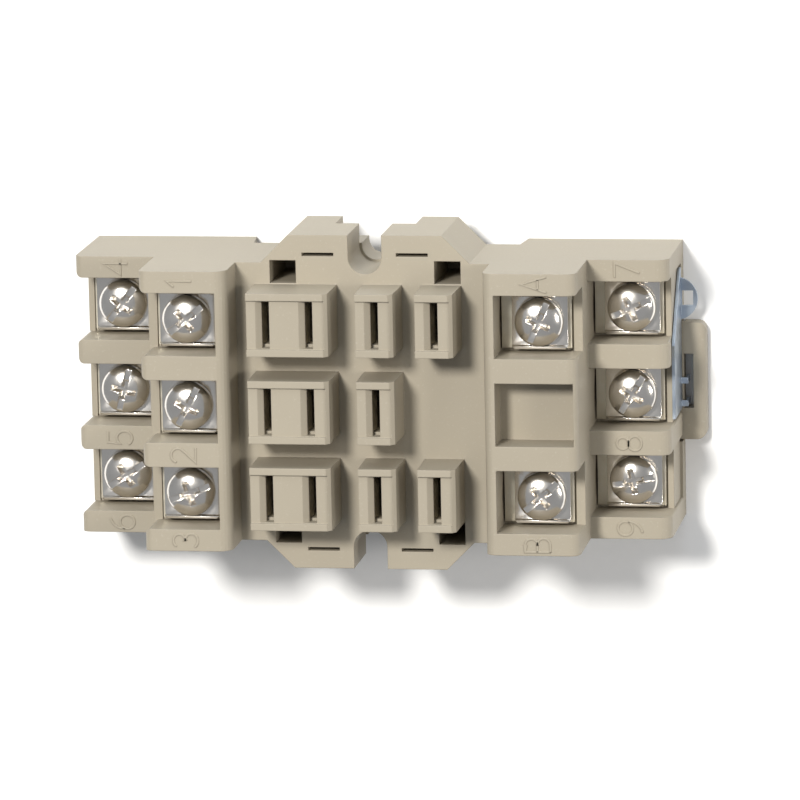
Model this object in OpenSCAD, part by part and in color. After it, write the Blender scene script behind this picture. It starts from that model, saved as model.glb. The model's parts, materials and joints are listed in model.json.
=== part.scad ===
// Relay socket for a plug-in relay with eleven blades, for a 35 mm rail or a panel.
// The rear plane is z = 0 and the terminals face +Z. The rail latch is at the +X end.
// Rows of terminals run along X, and the origin is the centre of the part's footprint.

/* [Housing] */
// Length of the outer terminal tower at each end
outer_tower_l = 10.8; // [10.2:0.1:13]
// Length of the inner terminal tower at the fixed end
inner_tower_l = 11.65; // [11.2:0.05:14]
// Length of the coil terminal tower at the latch end
coil_tower_l = 12.4; // [11.6:0.1:15]
// Length of the blade field between the two inner towers
field_l = 33.95; // [33.5:0.05:40]
// Front of the inner towers and blade blocks above the rear plane
inner_h = 28; // [26.5:0.5:34]
// Front of the outer towers above the rear plane
outer_h = 16.6; // [16:0.1:18]
// Front of the blade field and lugs above the rear plane
field_h = 20.4; // [19.5:0.1:22]
// Rounding of the towers' wire ends
wire_end_r = 1; // [0.4:0.1:1.5]
// Rounding of the inner tower's edge beside the blade field
inner_edge_r = 1.9; // [0.5:0.1:2.5]
// Rounding of the coil tower's two edges
coil_edge_r = 1.35; // [0.5:0.05:2]
// Rounding of the latch end
latch_end_r = 1.75; // [0.5:0.05:2.5]

/* [Terminal rows] */
// Distance from one row of terminals to the next
row_pitch = 11.65; // [11.2:0.05:14]
// Opening of a terminal cavity across the row
cavity_w = 8.4; // [8:0.1:8.8]
// Thickness of the flange outside the first and last row
flange_t = 2.9; // [2:0.1:5]
// Depth from a tower's front to the terminal plate
terminal_depth = 6.2; // [5:0.1:7]
// Wall between a cavity and the wire end of its tower
wire_wall = 1.2; // [0.9:0.1:1.6]
// Wall between an inner cavity and the blade field
field_wall = 1.5; // [1:0.1:2]
// Distance from a tower's wire end to the screw's axis
screw_setback = 5.5; // [5.1:0.1:5.9]
// Depth of the blank pocket between the coil terminals
pocket_depth = 5; // [3:0.5:5.5]
// Rounding of the barriers' ends at the fixed end
barrier_r = 0.9; // [0.2:0.1:1.2]
// Setback of the outer end walls behind the barriers
wall_setback = 0.4; // [0.2:0.05:0.6]

/* [Blade blocks] */
// Width of a block with two slots
double_block_l = 11.1; // [10.8:0.1:11.6]
// Width of a block with one slot
single_block_l = 5.3; // [5:0.1:6]
// Distance of the first slot from the fixed end tower
first_slot = 5.15; // [4.9:0.05:6]
// Distance between the two slots of a double block
slot_step = 5.75; // [5.4:0.05:6.2]
// Distance from the second slot to the common slot
common_step = 8.7; // [8.6:0.05:9.5]
// Distance from the common slot to the coil slot
coil_step = 7.9; // [7:0.05:8.5]
// Length of a blade slot
slot_l = 6.3; // [5.2:0.1:7]
// Width of a blade slot
slot_w = 1.1; // [0.9:0.05:1.4]
// Width of the lead-in beside a slot
lead_in = 0.75; // [0.4:0.05:1]
// Height of the bars above and below the slots
bar_w = 0.95; // [0.5:0.05:1]
// Depth of the field between the bars
bar_depth = 0.35; // [0.2:0.05:0.6]
// Chamfer along a block's edge
block_chamfer = 0.6; // [0.2:0.05:0.8]

/* [Lugs] */
// Reach of a lug beyond the terminal rows
lug_reach = 3.7; // [3.2:0.1:6]
// Length of a pair of lugs along its outer edge
lug_l = 20.5; // [19.5:0.1:21.5]
// Width of the mounting notch
notch_w = 4.5; // [4.3:0.1:5.2]
// Depth of the mounting notch from the lug's edge
notch_depth = 5.2; // [4.4:0.1:5.6]
// Height of the step inside the notch above the rear plane
notch_step_h = 10.8; // [8:0.1:14]
// Width of the relief behind each pair of lugs
relief_l = 10.8; // [8:0.1:14]
// Length of a clip slit
slit_l = 4.25; // [3:0.05:5]
// Width of a clip slit
slit_w = 0.45; // [0.3:0.05:0.8]
// Distance of a clip slit's centre from the socket's middle
slit_x = 6.3; // [5.5:0.1:6.6]
// Length of a clip window
window_l = 3.5; // [2.5:0.1:3.7]
// Width of a clip window
window_w = 3.05; // [2:0.05:3.1]
// Distance of a clip window's centre from the socket's middle
window_x = 11; // [10.9:0.1:11.4]
// Distance of a clip slit's middle beyond the terminal rows
slit_offset = 1.1; // [0.8:0.1:1.4]
// Distance of a clip window's outer edge beyond the terminal rows
window_offset = 0.3; // [0.1:0.05:0.4]
// Depth of the relief behind each pair of lugs
relief_depth = 2.6; // [1.5:0.1:3.2]

/* [Rail] */
// Opening of the rail channel
rail_gap = 36.1; // [35.8:0.1:37]
// Depth of the rail channel
rail_depth = 4.9; // [4.5:0.1:5.4]
// Shift of the channel towards the latch
rail_shift = 0.45; // [0:0.05:1]
// Thickness of the rail's edge
rail_edge = 1.2; // [1:0.1:1.4]
// Reach of the fixed hooks and the latch over the rail's edge
hook_reach = 1.4; // [1:0.1:2]
// Width of a fixed hook
hook_w = 7; // [4:0.5:9]

/* [Latch] */
// Width of the latch
latch_w = 15.9; // [14:0.1:18]
// Thickness of the latch
latch_t = 2.5; // [2.2:0.1:2.7]
// Reach of the latch beyond the end of the housing
latch_reach = 3.2; // [3:0.1:6]
// Travel of the latch
latch_travel = 2.2; // [1.5:0.1:2.6]
// Width of the screwdriver window in the latch
pry_w = 7.4; // [5:0.1:9]
// Gap between the latch and the housing
latch_gap = 0.3; // [0.2:0.05:0.4]
// Radius of the latch spring's ear
ear_r = 2.9; // [2.5:0.1:3.1]
// Thickness of the latch spring
spring_t = 0.4; // [0.3:0.05:0.6]

/* [Contacts] */
// Thickness of the contact strip
strip_t = 0.8; // [0.6:0.05:1]
// Width of the contact strip
strip_w = 4; // [3:0.1:5]
// Length of the terminal plate across the row
plate_w = 7.6; // [6.5:0.1:7.8]
// Width of a contact's jaws along the slot
jaw_w = 5.4; // [4:0.1:6]
// Thickness of a contact's jaws
jaw_t = 0.4; // [0.3:0.05:0.5]
// Thickness of the base cover
cover_t = 1.4; // [1:0.1:1.8]

/* [Screws] */
// Radius of the screw's shank
shank_r = 1.75; // [1.5:0.05:2]
// Length of the screw under its head
shank_l = 6.5; // [5.5:0.1:6.8]
// Radius of the screw's head
head_r = 3.2; // [2.9:0.05:3.4]
// Height of the screw's head
head_h = 2.4; // [2:0.1:2.8]
// Thickness of the clamp plate
clamp_t = 0.9; // [0.7:0.05:1.2]
// Height of the clamp plate's turned-up edges
clamp_lip = 0.5; // [0.3:0.05:0.8]
// Thickness of the clamp plate's turned-up edges
lip_t = 0.35; // [0.25:0.05:0.4]
// Running clearance of the shank in its holes
shank_gap = 0.05; // [0.02:0.01:0.09]

/* [Hidden] */
// Each terminal is [name, column, row]: columns run along +X and rows along -Y
TERMINALS = [
    ["4", 0, 0], ["5", 0, 1], ["6", 0, 2],
    ["1", 1, 0], ["2", 1, 1], ["3", 1, 2],
    ["a", 2, 0], ["b", 2, 2],
    ["7", 3, 0], ["8", 3, 1], ["9", 3, 2]
];
$fn = 48;
arc_steps = 6;
over = 1;
seat_gap = 0.02;
fit_gap = 0.1;
mould = "#a39b89";
steel = "#c8c6c2";
zinc = "#9fb0c2";
tin = "#c2b894";

// Ends of the towers along X, from the fixed end to the latch end
half_l = (2 * outer_tower_l + inner_tower_l + field_l + coil_tower_l) / 2;
fixed_end = -half_l;
inner_start = fixed_end + outer_tower_l;
field_start = inner_start + inner_tower_l;
field_end = field_start + field_l;
coil_end = field_end + coil_tower_l;
latch_end = half_l;
body_w = 2 * row_pitch + cavity_w + 2 * flange_t;
row_y = [row_pitch, 0, -row_pitch];
// Wire end of each column's tower, its side of the socket and its front
wire_end = [fixed_end, inner_start, coil_end, latch_end];
side = [-1, -1, 1, 1];
front = [outer_h, inner_h, inner_h, outer_h];
screw_x = [for (c = [0:3]) wire_end[c] - side[c] * screw_setback];
// Far side of each column's cavity, away from its wire end
cavity_back = [inner_start, field_start - field_wall, field_end + field_wall, coil_end];

// Blade slots from the fixed end to the latch end, and the column that each one serves
slot_1 = field_start + first_slot;
slot_2 = slot_1 + slot_step;
slot_3 = slot_2 + common_step;
slot_4 = slot_3 + coil_step;
slot_of_column = [slot_2, slot_1, slot_4, slot_3];

// Levels above the rear plane
rail_start = rail_shift - rail_gap / 2;
rail_end = rail_shift + rail_gap / 2;
rail_bevel = 0.5;
cover_top = rail_depth + cover_t;
low_strip = cover_top + fit_gap;
high_strip = low_strip + 3;
strip_level = [low_strip, high_strip, high_strip, low_strip];
jaw_top = inner_h - 2;
hook_top = rail_depth - rail_edge;
wall_drop = terminal_depth + 0.4;
rim_h = 3;
slit_depth = 8;
window_depth = 12;

// The clamp's edges stand clear of the screw's head
clamp_w = 2 * (head_r + 0.15 + lip_t);

// Latch and its slide way in the rear of the housing
latch_foot = 0.2;
latch_top = latch_foot + latch_t;
latch_wing = 1.2;
wing_h = latch_t / 2;
stop_r = 1;
stop_setback = 9;
stop_x = rail_end + stop_setback;
nose_l = 2.6;
spring_top = 11.2;
spring_foot = latch_top + 0.5;
spring_recess = 0.45;
ear_y = row_pitch - 0.3;

function arc(cx, cy, r, a0, a1) =
    [for (i = [0:arc_steps]) let (a = a0 + (a1 - a0) * i / arc_steps) [cx + r * cos(a), cy + r * sin(a)]];

// Moves the housing's own middle to its place behind the latch's reach
module placed() {
    translate([-latch_reach / 2, 0, 0]) children();
}

// Extrudes an outline drawn in X and Z to a width centred on Y
module along_y(w) {
    rotate([90, 0, 0]) linear_extrude(height = w, center = true) children();
}

// Box between two corners
module span(low, high) {
    translate(low) cube(high - low);
}

// Outline of the housing seen from the side, with its towers and rail channel
module body_outline() {
    polygon(concat(
        [[fixed_end, 0]],
        arc(fixed_end + wire_end_r, outer_h - wire_end_r, wire_end_r, 180, 90),
        [[inner_start, outer_h]],
        arc(inner_start + wire_end_r, inner_h - wire_end_r, wire_end_r, 180, 90),
        arc(field_start - inner_edge_r, inner_h - inner_edge_r, inner_edge_r, 90, 0),
        [[field_start, field_h], [field_end, field_h]],
        arc(field_end + coil_edge_r, inner_h - coil_edge_r, coil_edge_r, 180, 90),
        arc(coil_end - coil_edge_r, inner_h - coil_edge_r, coil_edge_r, 90, 0),
        [[coil_end, outer_h]],
        arc(latch_end - latch_end_r, outer_h - latch_end_r, latch_end_r, 90, 0),
        [
            [latch_end, 0], [rail_end + rail_bevel, 0], [rail_end, rail_depth],
            [rail_start, rail_depth], [rail_start - rail_bevel, 0]
        ]
    ));
}

// One pair of lugs, on the +Y side, before its notch
module lug_pair() {
    slope = lug_reach;
    translate([0, 0, rail_depth])
        linear_extrude(height = field_h - rail_depth)
            polygon([
                [-lug_l / 2 - slope, body_w / 2 - over], [-lug_l / 2 - slope, body_w / 2],
                [-lug_l / 2, body_w / 2 + lug_reach], [lug_l / 2, body_w / 2 + lug_reach],
                [lug_l / 2 + slope, body_w / 2], [lug_l / 2 + slope, body_w / 2 - over]
            ]);
}

// Mounting notch, rear relief, clip slits and clip windows of the lugs on the +Y side
module lug_cuts() {
    edge = body_w / 2 + lug_reach;
    notch_r = notch_w / 2;
    rear_r = notch_r - 0.35;
    translate([0, edge - notch_depth + notch_r, notch_step_h]) {
        cylinder(r = notch_r, h = field_h);
        translate([-notch_r, 0, 0]) cube([notch_w, notch_depth, field_h]);
    }
    translate([0, edge - notch_depth + notch_r, rail_depth - over]) {
        cylinder(r = rear_r, h = field_h);
        translate([-rear_r, 0, 0]) cube([2 * rear_r, notch_depth, field_h]);
    }
    span([-relief_l / 2, edge - relief_depth, rail_depth - over], [relief_l / 2, edge + over, notch_step_h]);
    for (s = [-1, 1]) {
        translate([s * slit_x - slit_l / 2, body_w / 2 + slit_offset - slit_w / 2, field_h - slit_depth])
            cube([slit_l, slit_w, slit_depth + over]);
        translate([s * window_x - window_l / 2, body_w / 2 + window_offset - window_w, field_h - window_depth])
            cube([window_l, window_w, window_depth + over]);
    }
}

// Outline of a blade block seen from the side: drafted, with one chamfered edge
module block_outline(l) {
    draft = 0.15;
    polygon([
        [-l / 2, field_h - over], [-l / 2 + draft, inner_h], [l / 2 - draft - block_chamfer, inner_h],
        [l / 2 - draft, inner_h - block_chamfer], [l / 2, field_h - over]
    ]);
}

module blade_block(x, l, y) {
    translate([x, y, 0]) difference() {
        along_y(cavity_w) block_outline(l);
        span([-l / 2 - over, bar_w - cavity_w / 2, inner_h - bar_depth],
            [l / 2 - block_chamfer, cavity_w / 2 - bar_w, inner_h + over]);
    }
}

// Blade blocks of one row: a double block, the common block and, on coil rows, one more
module block_row(r) {
    blade_block((slot_1 + slot_2) / 2, double_block_l, row_y[r]);
    blade_block(slot_3, single_block_l, row_y[r]);
    if (r != 1) blade_block(slot_4, single_block_l, row_y[r]);
}

// Slot with its lead-in on the fixed end side, and the chamber behind it
module slot_cut(x, y, floor_z) {
    lip = inner_h - bar_depth;
    chamber = jaw_w + 2 * fit_gap;
    translate([x, y, 0]) {
        along_y(slot_l) polygon([
            [-slot_w / 2, jaw_top], [-slot_w / 2, lip - lead_in], [-slot_w / 2 - lead_in, lip],
            [-slot_w / 2 - lead_in, inner_h + over], [slot_w / 2, inner_h + over], [slot_w / 2, jaw_top]
        ]);
        span([-1.7, -chamber / 2, floor_z], [1.7, chamber / 2, jaw_top + fit_gap]);
    }
}

// Outline of the mouth at the end of a row, with x running into the tower
module mouth_outline(depth, r) {
    h = cavity_w / 2;
    polygon(concat(
        [[depth, -h]], arc(r, -h - r, r, 90, 180), [[-over, -h - r], [-over, h + r]],
        arc(r, h + r, r, 180, 270), [[depth, h]]
    ));
}

// Cavity, wire mouth, screw bore and strip duct of one terminal
module terminal_cut(c, r) {
    mouth_r = c < 2 ? barrier_r : 0.3;
    seat = front[c] - terminal_depth - strip_t;
    wall_top = front[c] - wall_drop;
    translate([0, row_y[r], 0]) {
        span([min(wire_end[c] - side[c] * wire_wall, cavity_back[c]), -cavity_w / 2, seat],
            [max(wire_end[c] - side[c] * wire_wall, cavity_back[c]), cavity_w / 2, front[c] + over]);
        translate([wire_end[c], 0, wall_top]) mirror([side[c] > 0 ? 1 : 0, 0, 0])
            linear_extrude(height = terminal_depth + over) mouth_outline(wire_wall + over, mouth_r);
        if (c == 0 || c == 3)
            translate([wire_end[c], 0, rim_h]) mirror([side[c] > 0 ? 1 : 0, 0, 0])
                linear_extrude(height = wall_top - rim_h + over) mouth_outline(wall_setback, mouth_r);
        translate([screw_x[c], 0, seat + strip_t + clamp_t - shank_l - 0.4])
            cylinder(r = shank_r + 1.05, h = shank_l);
        duct_w = strip_w + 4 * fit_gap;
        duct_x = cavity_back[c] + side[c] * (strip_t + 4 * fit_gap);
        span([min(duct_x, cavity_back[c]), -duct_w / 2, strip_level[c] - fit_gap],
            [max(duct_x, cavity_back[c]), duct_w / 2, seat + over]);
        slot_x = slot_of_column[c];
        span([min(duct_x, slot_x), -duct_w / 2, strip_level[c] - fit_gap],
            [max(duct_x, slot_x), duct_w / 2, strip_level[c] + strip_t + fit_gap]);
    }
}

// Slide way of the latch, open at the rear and at the latch end
module latch_way() {
    half = latch_w / 2 + latch_gap;
    neck = half - latch_wing;
    span([rail_end - over, -half, latch_foot + latch_t - wing_h - latch_gap],
        [latch_end + over, half, latch_top + latch_gap]);
    span([rail_end - over, -neck, -over], [latch_end + over, neck, latch_top]);
    span([rail_end - over, -neck, -over],
        [rail_end - hook_reach + nose_l + latch_travel + 2 * latch_gap, neck, hook_top + latch_gap]);
}

// Recess in the latch end that holds the latch spring beside the first two rows
module spring_cut() {
    span([latch_end - spring_recess, -cavity_w / 2, latch_top],
        [latch_end + over, row_pitch + cavity_w / 2, outer_h - 2]);
}

// Two hooks that hold the rail's fixed edge
module rail_hooks() {
    for (s = [-1, 1])
        translate([0, s * (body_w / 4), 0]) along_y(hook_w) polygon([
            [rail_start - over, 0.8], [rail_start + hook_reach - 0.8, 0.8],
            [rail_start + hook_reach, 1.6], [rail_start + hook_reach, hook_top],
            [rail_start - over, hook_top]
        ]);
}

// Shallow core pockets in the rear of the fixed end
module core_pockets() {
    pocket = [6.2, 7.2, 3.4];
    first = fixed_end + 2.6;
    for (i = [0:1], r = [0:2])
        translate([first + i * (pocket[0] + 2.4), row_y[r] - pocket[1] / 2, -over])
            cube([pocket[0], pocket[1], pocket[2] + over]);
}

// Space of the base cover in the floor of the rail channel
module cover_outline(gap) {
    square([rail_gap - 4 + 2 * gap, body_w - 6 + 2 * gap], center = true);
}

module housing() {
    color(mould) placed() {
        difference() {
            union() {
                along_y(body_w) body_outline();
                lug_pair();
                mirror([0, 1, 0]) lug_pair();
                for (r = [0:2]) block_row(r);
            }
            lug_cuts();
            mirror([0, 1, 0]) lug_cuts();
            for (t = TERMINALS) terminal_cut(t[1], t[2]);
            for (r = [0:2]) {
                slot_cut(slot_1, row_y[r], high_strip - fit_gap);
                slot_cut(slot_2, row_y[r], low_strip - fit_gap);
                slot_cut(slot_3, row_y[r], low_strip - fit_gap);
                if (r != 1) slot_cut(slot_4, row_y[r], high_strip - fit_gap);
            }
            span([field_end + field_wall, -cavity_w / 2, inner_h - pocket_depth],
                [coil_end - 0.6, cavity_w / 2, inner_h + over]);
            translate([rail_shift, 0, rail_depth - over])
                linear_extrude(height = cover_t + over) cover_outline(fit_gap / 2);
            latch_way();
            spring_cut();
            core_pockets();
        }
        rail_hooks();
        translate([stop_x, 0, 0.6]) cylinder(r = stop_r, h = latch_top + over);
    }
}

module base_cover() {
    color(mould) placed()
        translate([rail_shift, 0, rail_depth])
            linear_extrude(height = cover_t) cover_outline(0);
}

// Latch: a slider with a nose over the rail's edge and a finger tab with a pry window
module din_latch() {
    tip = rail_end - hook_reach;
    tab = latch_end + latch_gap;
    end = latch_end + latch_reach;
    neck = latch_w / 2 - latch_wing;
    edge_r = 1.2;
    color(mould) placed() difference() {
        union() {
            span([tip, -neck, latch_foot], [end - edge_r, neck, latch_top]);
            span([rail_end + latch_gap, -latch_w / 2, latch_top - wing_h], [end - edge_r, latch_w / 2, latch_top]);
            along_y(2 * neck) polygon([
                [tip, latch_top - over], [tip, hook_top - 0.2], [tip + nose_l, hook_top - 0.2],
                [tip + nose_l, latch_top - over]
            ]);
            intersection() {
                along_y(latch_w) polygon(concat(
                    [[tab, latch_foot], [tab, latch_top]],
                    arc(end - edge_r, latch_top - edge_r, edge_r, 90, 0),
                    [[end, latch_foot]]
                ));
                linear_extrude(height = latch_top) polygon(concat(
                    [[tab, -latch_w / 2]],
                    arc(end - edge_r, edge_r - latch_w / 2, edge_r, 270, 360),
                    arc(end - edge_r, latch_w / 2 - edge_r, edge_r, 0, 90),
                    [[tab, latch_w / 2]]
                ));
            }
        }
        // Ramp that lets the rail push the nose open
        along_y(latch_w) polygon([[tip - over, latch_foot - over], [tip - over, 2.2], [tip + 2, latch_foot - over]]);
        // Pry window in the finger tab
        span([latch_end + 0.2, -pry_w / 2, -over], [latch_end + 1.5, pry_w / 2, latch_top + over]);
        // Slot round the housing's stop
        span([stop_x - stop_r - latch_gap - latch_travel, -stop_r - latch_gap, -over],
            [stop_x + stop_r + latch_gap, stop_r + latch_gap, latch_top + over]);
    }
}

// Flat spring: a plate on the end of the housing, an ear turned outwards and two prongs
module latch_spring() {
    plate = latch_end - spring_recess + fit_gap;
    low = -cavity_w / 2 + 0.6;
    high = row_pitch + cavity_w / 2 - 0.3;
    color(zinc) placed() {
        translate([plate, 0, 0]) rotate([90, 0, 90]) linear_extrude(height = spring_t)
            polygon([
                [low, spring_foot], [high, spring_foot], [high, spring_foot + 0.5],
                [ear_y - 5, spring_top], [low, spring_top]
            ]);
        difference() {
            translate([0, 0, spring_foot]) linear_extrude(height = spring_t) intersection() {
                translate([latch_end - 0.6, ear_y]) circle(r = ear_r);
                translate([plate, ear_y - ear_r]) square([2 * ear_r, 2 * ear_r]);
            }
            span([latch_end + 0.2, ear_y - 0.9, 0], [latch_end + 1.7, ear_y + 1.1, spring_top]);
        }
        for (y = [0.2, -2.9]) {
            span([plate, y - 0.4, spring_foot], [latch_end + 0.9, y + 0.4, spring_foot + spring_t]);
            span([latch_end + 0.5, y - 0.4, latch_foot + 0.8], [latch_end + 0.9, y + 0.4, spring_foot + spring_t]);
        }
    }
}

// Places a piece on its screw's axis at the top of its terminal plate
module at_terminal(c, r) {
    placed() translate([screw_x[c], row_y[r], front[c] - terminal_depth]) children();
}

// Pan head screw with a cross recess and a driver slot
module screw(c, r) {
    crown = 1.1;
    color(steel) at_terminal(c, r) translate([0, 0, clamp_t + 2 * seat_gap]) difference() {
        union() {
            translate([0, 0, -shank_l]) cylinder(r = shank_r, h = shank_l + over);
            rotate_extrude() polygon(concat(
                [[0, 0], [head_r, 0], [head_r, head_h - crown]],
                [for (i = [1:arc_steps]) let (a = 90 * i / arc_steps)
                    [head_r - crown + crown * cos(a), head_h - crown + crown * sin(a)]],
                [[0, head_h]]
            ));
        }
        for (a = [0, 90]) rotate([0, 0, a + 30])
            translate([-2, -0.45, head_h - 1.5]) cube([4, 0.9, 3]);
        rotate([0, 0, 30]) translate([-head_r - over, -0.5, head_h - 0.7]) cube([2 * head_r + 2 * over, 1, 2]);
    }
}

// Square clamp plate with two turned-up edges
module clamp(c, r) {
    color(steel) at_terminal(c, r) translate([0, 0, seat_gap]) difference() {
        union() {
            translate([-clamp_w / 2, -clamp_w / 2, 0]) cube([clamp_w, clamp_w, clamp_t]);
            for (s = [-1, 1]) translate([-clamp_w / 2, s * (clamp_w - lip_t) / 2 - lip_t / 2, 0])
                cube([clamp_w, lip_t, clamp_t + clamp_lip]);
        }
        translate([0, 0, -over]) cylinder(r = shank_r + shank_gap, h = clamp_t + 2 * over);
    }
}

// Contact jaws: a tulip that grips the blade, drawn in X and Z from its root
module jaw_outline(root_z) {
    grip = 0.35;
    flare = 0.75;
    root = 1.3;
    for (s = [-1, 1]) polygon([
        [s * (root - jaw_t), root_z], [s * root, root_z], [s * root, jaw_top - 6],
        [s * (grip + jaw_t), jaw_top - 1.6], [s * (flare + jaw_t), jaw_top], [s * flare, jaw_top],
        [s * grip, jaw_top - 1.6], [s * (root - jaw_t), jaw_top - 6]
    ]);
    translate([-root, root_z]) square([2 * root, strip_t]);
}

// Contact: terminal plate with a threaded collar, strip and jaws in one stamping
module contact(c, r) {
    seat = front[c] - terminal_depth - strip_t;
    tail = cavity_back[c] + side[c] * fit_gap * 2;
    riser = tail + side[c] * strip_t;
    outer = wire_end[c] - side[c] * (wire_wall + 2 * fit_gap);
    slot_x = slot_of_column[c];
    color(tin) placed() translate([0, row_y[r], 0]) difference() {
        union() {
            span([min(outer, tail), -plate_w / 2, seat], [max(outer, tail), plate_w / 2, seat + strip_t]);
            translate([screw_x[c], 0, seat - 1.4]) cylinder(r = shank_r + 0.75, h = 1.4 + strip_t / 2);
            span([min(tail, riser), -strip_w / 2, strip_level[c]], [max(tail, riser), strip_w / 2, seat + strip_t]);
            span([min(riser, slot_x), -strip_w / 2, strip_level[c]],
                [max(riser, slot_x), strip_w / 2, strip_level[c] + strip_t]);
            translate([slot_x, 0, 0]) along_y(jaw_w) jaw_outline(strip_level[c]);
        }
        translate([screw_x[c], 0, seat - 2]) cylinder(r = shank_r + shank_gap, h = 4);
    }
}

housing();
base_cover();
din_latch();
latch_spring();
for (t = TERMINALS) {
    screw(t[1], t[2]);
    clamp(t[1], t[2]);
    contact(t[1], t[2]);
}
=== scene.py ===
"""Relay socket: moulded plastic, plated screws and clamp plates, raised terminal marks,
floor, lights and camera. Lengths are in millimetres unless a line says otherwise."""

import json
import math

import bmesh
import bpy
from mathutils import Matrix, Vector

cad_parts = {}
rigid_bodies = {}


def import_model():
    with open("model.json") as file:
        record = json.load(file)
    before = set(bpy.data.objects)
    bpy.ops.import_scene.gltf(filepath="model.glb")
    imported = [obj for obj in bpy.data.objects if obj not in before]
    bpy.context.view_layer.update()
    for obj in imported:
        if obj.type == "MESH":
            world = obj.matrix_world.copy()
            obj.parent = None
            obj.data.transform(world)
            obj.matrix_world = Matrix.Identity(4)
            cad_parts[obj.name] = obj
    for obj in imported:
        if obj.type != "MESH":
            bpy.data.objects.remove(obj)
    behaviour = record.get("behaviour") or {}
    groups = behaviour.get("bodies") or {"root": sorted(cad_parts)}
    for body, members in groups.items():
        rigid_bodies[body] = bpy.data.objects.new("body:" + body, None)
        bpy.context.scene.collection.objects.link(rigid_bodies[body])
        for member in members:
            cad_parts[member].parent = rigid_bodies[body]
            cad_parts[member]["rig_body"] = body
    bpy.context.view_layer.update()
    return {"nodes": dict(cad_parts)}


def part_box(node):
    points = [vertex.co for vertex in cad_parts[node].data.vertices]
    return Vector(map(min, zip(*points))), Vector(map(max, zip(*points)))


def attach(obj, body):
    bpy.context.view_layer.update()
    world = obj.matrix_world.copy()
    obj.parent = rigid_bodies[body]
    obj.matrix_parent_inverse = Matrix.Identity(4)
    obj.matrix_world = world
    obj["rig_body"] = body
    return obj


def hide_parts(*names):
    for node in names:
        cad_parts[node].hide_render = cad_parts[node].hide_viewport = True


MM = 0.001

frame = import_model()

TERMINALS = "123456789ab"


# --- Shader maths -----------------------------------------------------------------------------

class Signal:
    """A shader socket that arithmetic works on: an expression adds the Math nodes it needs."""

    def __init__(self, finish, socket):
        self.finish = finish
        self.socket = socket

    def _math(self, operation, first, second):
        return self.finish.node("ShaderNodeMath", {"operation": operation}, {0: first, 1: second})

    def __add__(self, other):
        return self._math("ADD", self, other)

    def __radd__(self, other):
        return self._math("ADD", other, self)

    def __mul__(self, other):
        return self._math("MULTIPLY", self, other)

    def __rmul__(self, other):
        return self._math("MULTIPLY", other, self)


class Finish:
    """A material that is built node by node round one Principled shader."""

    def __init__(self, name):
        self.material = bpy.data.materials.new(name)
        self.material.use_nodes = True
        self.tree = self.material.node_tree
        self.shader = self.tree.nodes["Principled BSDF"]

    def node(self, kind, settings=None, values=None, output=0):
        """Any node: its settings are made first, then the values or links of its sockets."""
        made = self.tree.nodes.new(kind)
        for name, value in (settings or {}).items():
            if name == "stops":
                self._stops(made.color_ramp, value)
            else:
                setattr(made, name, value)
        for key, value in (values or {}).items():
            self._feed(made.inputs[key], value)
        return Signal(self, made.outputs[output])

    def _feed(self, socket, value):
        if isinstance(value, Signal):
            self.tree.links.new(value.socket, socket)
        else:
            socket.default_value = value

    def _stops(self, ramp, stops):
        while len(ramp.elements) < len(stops):
            ramp.elements.new(1)
        for element, (place, colour) in zip(ramp.elements, stops):
            element.position = place
            element.color = colour

    def where(self):
        """Place on the piece, in metres."""
        return self.node("ShaderNodeTexCoord", output="Object")

    def noise(self, per_metre, detail=2, stretch=(1, 1, 1)):
        """Soft random value from 0 to 1 with about per_metre features in a metre."""
        place = self.node("ShaderNodeVectorMath", {"operation": "MULTIPLY"},
                          {0: self.where(), 1: stretch})
        return self.node("ShaderNodeTexNoise", {},
                         {"Vector": place, "Scale": per_metre, "Detail": detail})

    def blend(self, amount, first, second):
        """Colour between two colours."""
        return self.node("ShaderNodeMix", {"data_type": "RGBA"},
                         {"Factor": amount, 6: first, 7: second}, output=2)

    def steps(self, value, stops):
        return self.node("ShaderNodeValToRGB", {"stops": stops}, {"Fac": value})

    def rounded(self, radius):
        """Normal that turns softly over sharp edges, as a mould's edges do."""
        return self.node("ShaderNodeBevel", {"samples": 6}, {"Radius": radius})

    def bump(self, height, depth, normal):
        return self.node("ShaderNodeBump", {},
                         {"Height": height, "Distance": depth, "Strength": 1.0, "Normal": normal})

    def set(self, **inputs):
        for name, value in inputs.items():
            self._feed(self.shader.inputs[name.replace("_", " ")], value)
        return self


def grey(value):
    return (value, value, value, 1)


# --- Finishes -----------------------------------------------------------------------------------

def moulded_plastic():
    """Warm light-grey moulding compound with a fine spark-eroded grain."""
    finish = Finish("moulded_plastic")
    flow = finish.steps(finish.noise(55, 3), [(0.3, grey(0)), (0.7, grey(1))])
    body = finish.blend(flow, (0.312, 0.275, 0.212, 1), (0.338, 0.300, 0.232, 1))
    speck = finish.steps(finish.noise(2600, 2), [(0.62, grey(0)), (0.72, grey(1))])
    colour = finish.blend(speck * 0.22, body, (0.44, 0.40, 0.33, 1))
    grain = finish.noise(5200, 2)
    sink = finish.noise(190, 2)
    surface = finish.bump(grain * 0.55 + sink * 2.0, 0.010 * MM, finish.rounded(0.16 * MM))
    finish.set(Base_Color=colour, Roughness=0.46 + grain * 0.1 + flow * 0.05, Normal=surface)
    return finish.material


def nickel_plate():
    """Bright nickel with faint tool marks."""
    finish = Finish("nickel_plate")
    cloud = finish.noise(420, 3)
    rubbed = finish.noise(1800, 2, (1, 0.12, 1))
    colour = finish.blend(cloud, (0.74, 0.70, 0.64, 1), (0.86, 0.83, 0.79, 1))
    surface = finish.bump(rubbed + cloud * 0.8, 0.012 * MM, finish.rounded(0.09 * MM))
    finish.set(Base_Color=colour, Metallic=1.0, Roughness=0.13 + cloud * 0.12, Normal=surface)
    return finish.material


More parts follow.
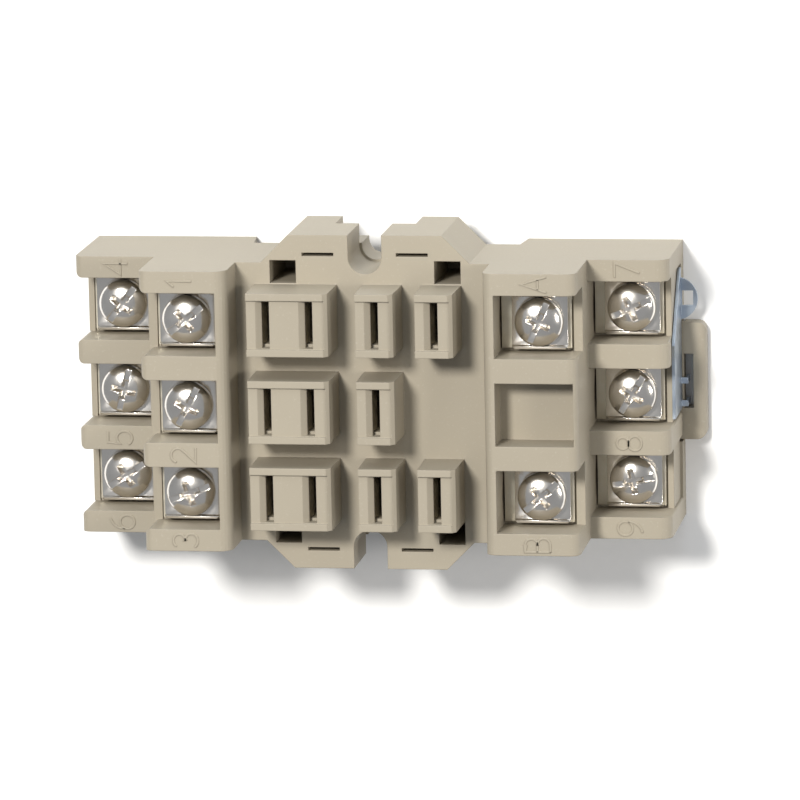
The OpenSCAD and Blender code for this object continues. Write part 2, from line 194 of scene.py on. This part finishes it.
def tinned_brass():
    """Dull tin over brass strip."""
    finish = Finish("tinned_brass")
    cloud = finish.noise(700, 3)
    colour = finish.blend(cloud, (0.56, 0.50, 0.38, 1), (0.70, 0.66, 0.56, 1))
    surface = finish.bump(finish.noise(2400, 2, (0.1, 1, 1)), 0.008 * MM, finish.rounded(0.08 * MM))
    finish.set(Base_Color=colour, Metallic=1.0, Roughness=0.3 + cloud * 0.16, Normal=surface)
    return finish.material


def blue_zinc():
    """Blue passivated zinc on rolled spring strip."""
    finish = Finish("blue_zinc")
    cloud = finish.noise(500, 3)
    colour = finish.blend(cloud, (0.38, 0.45, 0.56, 1), (0.62, 0.68, 0.74, 1))
    surface = finish.bump(finish.noise(1500, 2, (0.15, 1, 1)), 0.010 * MM, finish.rounded(0.07 * MM))
    finish.set(Base_Color=colour, Metallic=1.0, Roughness=0.24 + cloud * 0.16, Normal=surface)
    return finish.material


def studio_paper():
    """Pale paper that the socket lies on."""
    finish = Finish("studio_paper")
    fibre = finish.noise(900, 2)
    finish.set(Base_Color=finish.blend(fibre, grey(0.90), grey(0.93)), Roughness=0.85)
    return finish.material


# --- Meshes -------------------------------------------------------------------------------------

def solid(name, bm, material, smooth_angle=None):
    """Object from a bmesh in millimetres."""
    bmesh.ops.recalc_face_normals(bm, faces=bm.faces)
    mesh = bpy.data.meshes.new(name)
    bm.to_mesh(mesh)
    bm.free()
    mesh.transform(Matrix.Scale(MM, 4))
    mesh.materials.append(material)
    obj = bpy.data.objects.new(name, mesh)
    bpy.context.scene.collection.objects.link(obj)
    if smooth_angle is not None:
        mesh.shade_smooth()
        mesh.set_sharp_from_angle(angle=math.radians(smooth_angle))
    return obj


def turned(bm, profile, segments=64):
    """Revolves a profile of (radius, height) points round Z, closed on the axis."""
    rings = []
    for radius, height in profile:
        if radius == 0:
            rings.append([bm.verts.new((0, 0, height))] * segments)
        else:
            rings.append([bm.verts.new((radius * math.cos(a), radius * math.sin(a), height))
                          for a in (math.tau * i / segments for i in range(segments))])
    for low, high in zip(rings, rings[1:]):
        for i in range(segments):
            j = (i + 1) % segments
            corners = []
            for vert in (low[i], low[j], high[j], high[i]):
                if vert not in corners:
                    corners.append(vert)
            bm.faces.new(corners)


def prism(bm, outline, low, high, taper=1.0):
    """Extrudes a closed outline from one level to another, where it may be smaller."""
    bottom = [bm.verts.new((x * taper, y * taper, low)) for x, y in outline]
    top = [bm.verts.new((x, y, high)) for x, y in outline]
    bm.faces.new(bottom)
    bm.faces.new(top)
    count = len(outline)
    for i in range(count):
        j = (i + 1) % count
        bm.faces.new((bottom[i], bottom[j], top[j], top[i]))


def carve(target, cutter):
    """Takes the cutter out of the target for good."""
    cut = target.modifiers.new("cut", "BOOLEAN")
    cut.operation = "DIFFERENCE"
    cut.solver = "EXACT"
    cut.object = cutter
    apply_modifiers(target)
    bpy.data.objects.remove(cutter)


def apply_modifiers(obj):
    graph = bpy.context.evaluated_depsgraph_get()
    mesh = bpy.data.meshes.new_from_object(obj.evaluated_get(graph))
    obj.modifiers.clear()
    obj.data = mesh


def soften(obj, width):
    """Rounds the edges of a piece by a true bevel."""
    bevel = obj.modifiers.new("edge", "BEVEL")
    bevel.width = width * MM
    bevel.segments = 2
    bevel.angle_limit = math.radians(40)
    bevel.use_clamp_overlap = True
    apply_modifiers(obj)
    obj.data.shade_smooth()
    obj.data.set_sharp_from_angle(angle=math.radians(50))


# --- Screws and clamp plates -----------------------------------------------------------------------

HEAD_R = 3.2
HEAD_H = 2.4
HEAD_SIDE = 1.05
HEAD_EDGE = 0.12
CROSS_REACH = 1.95
CROSS_W = 0.95
CROSS_TAPER = 0.55
CROSS_DEPTH = 1.5
SLOT_W = 0.84
SLOT_DEPTH = 0.75
HEAD_ROUNDING = 0.07
SHANK_R = 1.74
SHANK_ROOT = 1.45
SHANK_L = 6.5
THREAD_PITCH = 0.6
THREAD_STEPS = 24
TIP_CHAMFER = 0.25
OVERLAP = 0.02


def head_profile():
    """Pan head from its seat to its crown, as (radius, height) points."""
    crown = [(HEAD_R * math.cos(a), HEAD_SIDE + (HEAD_H - HEAD_SIDE) * math.sin(a))
             for a in (math.pi / 2 * i / 12 for i in range(13))]
    crown[-1] = (0, HEAD_H)
    return [(0, 0), (HEAD_R - HEAD_EDGE, 0), (HEAD_R, HEAD_EDGE)] + crown


def cross_outline(reach, width):
    """Cross of two equal bars, with its outline run once round."""
    half = width / 2
    corner = [(reach, -half), (reach, half), (half, half)]
    return [rotated(point, quarter * 90) for quarter in range(4) for point in corner]


def rotated(point, degrees):
    c, s = math.cos(math.radians(degrees)), math.sin(math.radians(degrees))
    return point[0] * c - point[1] * s, point[0] * s + point[1] * c


def threaded_shank(bm):
    """Shank with a true helical ridge, from its tip up into the head."""
    turns = int((SHANK_L - THREAD_PITCH / 2) / THREAD_PITCH)
    shape = [(0.0, SHANK_ROOT), (0.3, SHANK_ROOT), (0.5, SHANK_R), (0.8, SHANK_R)]
    rows = []
    for step in range(turns * THREAD_STEPS + 1):
        angle = math.tau * step / THREAD_STEPS
        base = -SHANK_L + THREAD_PITCH * step / THREAD_STEPS
        rows.append([bm.verts.new((r * math.cos(angle), r * math.sin(angle), base + THREAD_PITCH * f))
                     for f, r in shape])
    for low, high in zip(rows, rows[1:]):
        for k in range(len(shape) - 1):
            bm.faces.new((low[k], high[k], high[k + 1], low[k + 1]))
    for step in range((turns - 1) * THREAD_STEPS):
        low, high = rows[step], rows[step + 1]
        above, after = rows[step + THREAD_STEPS], rows[step + THREAD_STEPS + 1]
        bm.faces.new((low[-1], high[-1], after[0], above[0]))
    core = SHANK_ROOT + OVERLAP
    turned(bm, [(0, -SHANK_L), (SHANK_ROOT - TIP_CHAMFER, -SHANK_L), (core, -SHANK_L + TIP_CHAMFER),
                (core, 0.05), (0, 0.05)], THREAD_STEPS)


def screw_blank(material):
    """Pan head with a driver slot across a cross recess, and its threaded shank."""
    bm = bmesh.new()
    turned(bm, head_profile())
    head = solid("screw_head", bm, material)
    bm = bmesh.new()
    prism(bm, cross_outline(CROSS_REACH, CROSS_W), HEAD_H - CROSS_DEPTH, HEAD_H + 0.4, CROSS_TAPER)
    carve(head, solid("cross", bm, material))
    bm = bmesh.new()
    reach, half = HEAD_R + 0.8, SLOT_W / 2
    prism(bm, [(-reach, -half), (reach, -half), (reach, half), (-reach, half)],
          HEAD_H - SLOT_DEPTH, HEAD_H + 1)
    carve(head, solid("slot", bm, material))
    soften(head, HEAD_ROUNDING)
    bm = bmesh.new()
    threaded_shank(bm)
    shank = solid("shank", bm, material, 40)
    joined = bmesh.new()
    for part in (head, shank):
        joined.from_mesh(part.data)
        bpy.data.objects.remove(part)
    mesh = bpy.data.meshes.new("screw")
    joined.to_mesh(mesh)
    joined.free()
    mesh.materials.clear()
    mesh.materials.append(material)
    return mesh


CLAMP_W = 7.4
CLAMP_T = 0.9
CLAMP_LIP = 0.5
CLAMP_BORE = 1.8
CLAMP_BEND_R = 0.42
CLAMP_EDGE_T = 0.36
CLAMP_ROOT = 0.12
CLAMP_CLIP = 0.75
CLAMP_ROUNDING = 0.08


def clamp_section():
    """Section across the clamp plate's turned-up edges, as (y, z) points of one closed outline."""
    half = CLAMP_W / 2
    inner = half - CLAMP_EDGE_T
    crest = CLAMP_T + CLAMP_LIP
    bend = [(half - CLAMP_BEND_R * (1 - math.sin(a)), CLAMP_BEND_R * (1 - math.cos(a)))
            for a in (math.pi / 2 * i / 4 for i in range(5))]
    right = bend + [(half, crest), (inner, crest), (inner - CLAMP_ROOT, CLAMP_T)]
    return right + [(-y, z) for y, z in reversed(right)]


def clamp_blank(material):
    """Square clamp plate with two turned-up edges, bored for the screw."""
    bm = bmesh.new()
    half = CLAMP_W / 2
    ends = [[bm.verts.new((x, y, z)) for y, z in clamp_section()] for x in (-half, half)]
    count = len(ends[0])
    for i in range(count):
        j = (i + 1) % count
        bm.faces.new((ends[0][i], ends[0][j], ends[1][j], ends[1][i]))
    bm.faces.new(ends[0])
    bm.faces.new(ends[1])
    plate = solid("clamp", bm, material)
    bm = bmesh.new()
    turned(bm, [(0, -1), (CLAMP_BORE, -1), (CLAMP_BORE, 2), (0, 2)], 48)
    carve(plate, solid("bore", bm, material))
    # Clipped corners of the plate
    bm = bmesh.new()
    for sx in (-1, 1):
        for sy in (-1, 1):
            x, y = sx * (half + 0.2), sy * (half + 0.2)
            prism(bm, [(x, y), (x - sx * CLAMP_CLIP, y), (x, y - sy * CLAMP_CLIP)], -1, 2)
    carve(plate, solid("clips", bm, material))
    soften(plate, CLAMP_ROUNDING)
    mesh = plate.data
    bpy.data.objects.remove(plate)
    return mesh


# Turn of each screw's driver slot from the length of the socket, in degrees
SLOT_TURN = {"1": 38, "2": 62, "3": 20, "4": 52, "5": 75, "6": 33,
             "7": 24, "8": 58, "9": 12, "a": 66, "b": 41}


def fit_screws(material):
    """A screw and a clamp plate at each terminal, in place of the plain ones."""
    screw_mesh = screw_blank(material)
    clamp_mesh = clamp_blank(material)
    for name in TERMINALS:
        low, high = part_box(f"screw_{name}")
        axis = (low + high) / 2
        seat = low.z + SHANK_L * MM
        place_copy(screw_mesh, f"terminal_screw_{name}", (axis.x, axis.y, seat), SLOT_TURN[name],
                   f"screw_{name}")
        low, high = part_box(f"clamp_{name}")
        axis = (low + high) / 2
        place_copy(clamp_mesh, f"clamp_plate_{name}", (axis.x, axis.y, low.z), 0,
                   f"clamp_{name}")


def place_copy(mesh, name, place, degrees, node):
    """Copy of a piece in metres, on its node's body and in its node's place."""
    obj = bpy.data.objects.new(name, mesh.copy())
    obj.data.transform(Matrix.Translation(place) @ Matrix.Rotation(math.radians(degrees), 4, "Z"))
    bpy.context.scene.collection.objects.link(obj)
    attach(obj, frame["nodes"][node]["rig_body"])
    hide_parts(node)


# --- Terminal marks --------------------------------------------------------------------------------

MARK_H = 3.3
MARK_W = 2.1
STROKE = 0.34
RELIEF = 0.11
STROKE_DRAFT = 0.05
STROKE_SINK = 0.05


def bow(cx, cy, rx, ry, start, end, count=12):
    """Stroke along part of an ellipse, in shares of the mark's width and height."""
    angles = [math.radians(start + (end - start) * i / count) for i in range(count + 1)]
    return [(cx + rx * math.cos(a), cy + ry * math.sin(a)) for a in angles]


def ring(cx, cy, rx, ry):
    return bow(cx, cy, rx, ry, 0, 360, 20)


# Strokes of each mark, in shares of its width and height
MARKS = {
    "1": [[(0.2, 0.72), (0.55, 1), (0.55, 0)]],
    "2": [bow(0.5, 0.72, 0.45, 0.28, 165, -35) + [(0.05, 0), (0.98, 0)]],
    "3": [bow(0.5, 0.76, 0.42, 0.24, 150, -90) + bow(0.5, 0.26, 0.46, 0.26, 90, -150)],
    "4": [[(0.7, 0), (0.7, 1), (0.02, 0.3), (1, 0.3)]],
    "5": [[(0.9, 1), (0.2, 1), (0.12, 0.52)] + bow(0.48, 0.32, 0.46, 0.32, 130, -150)],
    "6": [bow(0.9, 0.42, 0.85, 0.58, 100, 180), ring(0.5, 0.3, 0.45, 0.3)],
    "7": [[(0.04, 1), (0.96, 1), (0.34, 0)]],
    "8": [ring(0.5, 0.76, 0.38, 0.24), ring(0.5, 0.27, 0.46, 0.27)],
    "9": [bow(0.1, 0.58, 0.85, 0.58, -80, 0), ring(0.5, 0.7, 0.45, 0.3)],
    "a": [[(0, 0), (0.5, 1), (1, 0)], [(0.18, 0.35), (0.82, 0.35)]],
    "b": [[(0.08, 0), (0.08, 1), (0.55, 1)] + bow(0.55, 0.76, 0.36, 0.24, 90, -90) + [(0.08, 0.52)],
          [(0.5, 0.52)] + bow(0.55, 0.26, 0.4, 0.26, 90, -90) + [(0.08, 0)]],
}


def raised_stroke(bm, points, level):
    """Low bar with sloping sides along a line of points, closed where the line is."""
    closed = (Vector(points[0]) - Vector(points[-1])).length < 0.01
    line = [Vector(p) for p in (points[:-1] if closed else points)]
    count = len(line)
    foot, crest = STROKE / 2 + STROKE_DRAFT, STROKE / 2 - STROKE_DRAFT
    low, high = level - STROKE_SINK, level + RELIEF
    profile = ((-foot, low), (-crest, high), (crest, high), (foot, low))
    sections = []
    for i, point in enumerate(line):
        before = line[i - 1] if closed or i else None
        after = line[(i + 1) % count] if closed or i < count - 1 else None
        forward = (after - point).normalized() if after else (point - before).normalized()
        backward = (point - before).normalized() if before else forward
        along = (forward + backward).normalized()
        side = Vector((-along.y, along.x)) / max(0.5, along.dot(forward))
        sections.append([bm.verts.new((*(point + side * w), z)) for w, z in profile])
    pairs = list(zip(sections, sections[1:])) + ([(sections[-1], sections[0])] if closed else [])
    for one, two in pairs:
        for k in range(4):
            bm.faces.new((one[k], one[(k + 1) % 4], two[(k + 1) % 4], two[k]))
    if not closed:
        bm.faces.new(sections[0])
        bm.faces.new(sections[-1])


def terminal_mark(name, centre, level, material):
    """Raised mark read from the fixed end: its top points to -X."""
    bm = bmesh.new()
    for stroke in MARKS[name]:
        placed = [(centre[0] - (v - 0.5) * MARK_H, centre[1] + (u - 0.5) * MARK_W) for u, v in stroke]
        raised_stroke(bm, placed, level)
    obj = solid(f"mark_{name}", bm, material)
    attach(obj, "socket")


FLANGE_OFFSET = 5.7
BARRIER_OFFSET = 5.85
TERMINAL_DEPTH = 6.2
SEAT_GAP = 0.02


def mark_terminals(material):
    """Marks on the flanges outside the first and last rows, and below the middle row."""
    for name in TERMINALS:
        low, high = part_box(f"clamp_{name}")
        x, y = (low.x + high.x) / 2 / MM, (low.y + high.y) / 2 / MM
        if abs(y) < 1:
            y -= BARRIER_OFFSET
        else:
            y += math.copysign(FLANGE_OFFSET, y)
        level = low.z / MM + TERMINAL_DEPTH - SEAT_GAP
        terminal_mark(name, (x, y), level, material)


# --- Studio -----------------------------------------------------------------------------------------

AZIMUTH = 9.25
ELEVATION = 10.88
ROLL = -1.17
DISTANCE = 900
LENS = 299.5
AIM = Vector((-1.6, 0, 0))
AIM_RIGHT = 1.08
AIM_UP = -3.49

# Name, direction, distance and size in metres, power in watts, and colour
LAMPS = [
    ("key", (-1.77, 3.1, 7.5), 1.1, 0.22, 13.0, (1.0, 0.975, 0.93)),
    ("fill", (6.5, 0.8, 4.6), 1.2, 0.30, 4.5, (1.0, 0.96, 0.90)),
    ("sky", (0.4, 6.5, 2.2), 1.3, 0.9, 5.0, (0.86, 0.93, 1.0)),
]
WORLD_COLOUR = (0.93, 0.96, 1.0, 1)
WORLD_STRENGTH = 0.35
FLOOR_HALF = 1500
FLOOR_T = 5
FLOOR_GAP = 0.02


def direction(azimuth, elevation):
    """Unit vector from the socket: azimuth turns from +Z to +X, and elevation rises to +Y."""
    a, e = math.radians(azimuth), math.radians(elevation)
    return Vector((math.sin(a) * math.cos(e), math.sin(e), math.cos(a) * math.cos(e)))


def facing(toward, roll=0):
    """Rotation whose Z axis points along toward and whose Y axis stays nearest to +Y."""
    right = Vector((0, 1, 0)).cross(toward).normalized()
    up = toward.cross(right)
    r = math.radians(roll)
    right, up = right * math.cos(r) + up * math.sin(r), up * math.cos(r) - right * math.sin(r)
    return Matrix((right, up, toward)).transposed()


def set_camera():
    data = bpy.data.cameras.new("camera")
    data.lens = LENS
    data.sensor_width = 36
    data.clip_end = 10
    toward = direction(AZIMUTH, ELEVATION)
    turn = facing(toward, ROLL)
    aim = AIM + turn.col[0] * AIM_RIGHT + turn.col[1] * AIM_UP
    camera = bpy.data.objects.new("camera", data)
    camera.matrix_world = Matrix.Translation((aim + toward * DISTANCE) * MM) @ turn.to_4x4()
    bpy.context.scene.collection.objects.link(camera)
    bpy.context.scene.camera = camera


def lamp(name, toward, distance, size, power, colour):
    data = bpy.data.lights.new(name, "AREA")
    data.shape = "DISK"
    data.size = size
    data.energy = power
    data.color = colour
    toward = toward.normalized()
    obj = bpy.data.objects.new(name, data)
    obj.matrix_world = Matrix.Translation(toward * distance) @ facing(toward).to_4x4()
    bpy.context.scene.collection.objects.link(obj)


def light_studio():
    for name, toward, distance, size, power, colour in LAMPS:
        lamp(name, Vector(toward), distance, size, power, colour)
    world = bpy.data.worlds.new("studio")
    world.use_nodes = True
    background = world.node_tree.nodes["Background"]
    background.inputs["Color"].default_value = WORLD_COLOUR
    background.inputs["Strength"].default_value = WORLD_STRENGTH
    bpy.context.scene.world = world
    bpy.context.scene.view_settings.view_transform = "Standard"


def lay_floor(material):
    bm = bmesh.new()
    half = FLOOR_HALF
    prism(bm, [(-half, -half), (half, -half), (half, half), (-half, half)], -FLOOR_T, -FLOOR_GAP)
    solid("floor", bm, material)


# --- Assembly ---------------------------------------------------------------------------------------

def dress(node, material):
    mesh = frame["nodes"][node].data
    mesh.materials.clear()
    mesh.materials.append(material)


plastic = moulded_plastic()
nickel = nickel_plate()
tin = tinned_brass()

for node in ("housing", "base_cover", "din_latch"):
    dress(node, plastic)
dress("latch_spring", blue_zinc())
for name in TERMINALS:
    dress(f"contact_{name}", tin)
    dress(f"screw_{name}", nickel)
    dress(f"clamp_{name}", nickel)

fit_screws(nickel)
mark_terminals(plastic)
lay_floor(studio_paper())
light_studio()
set_camera()
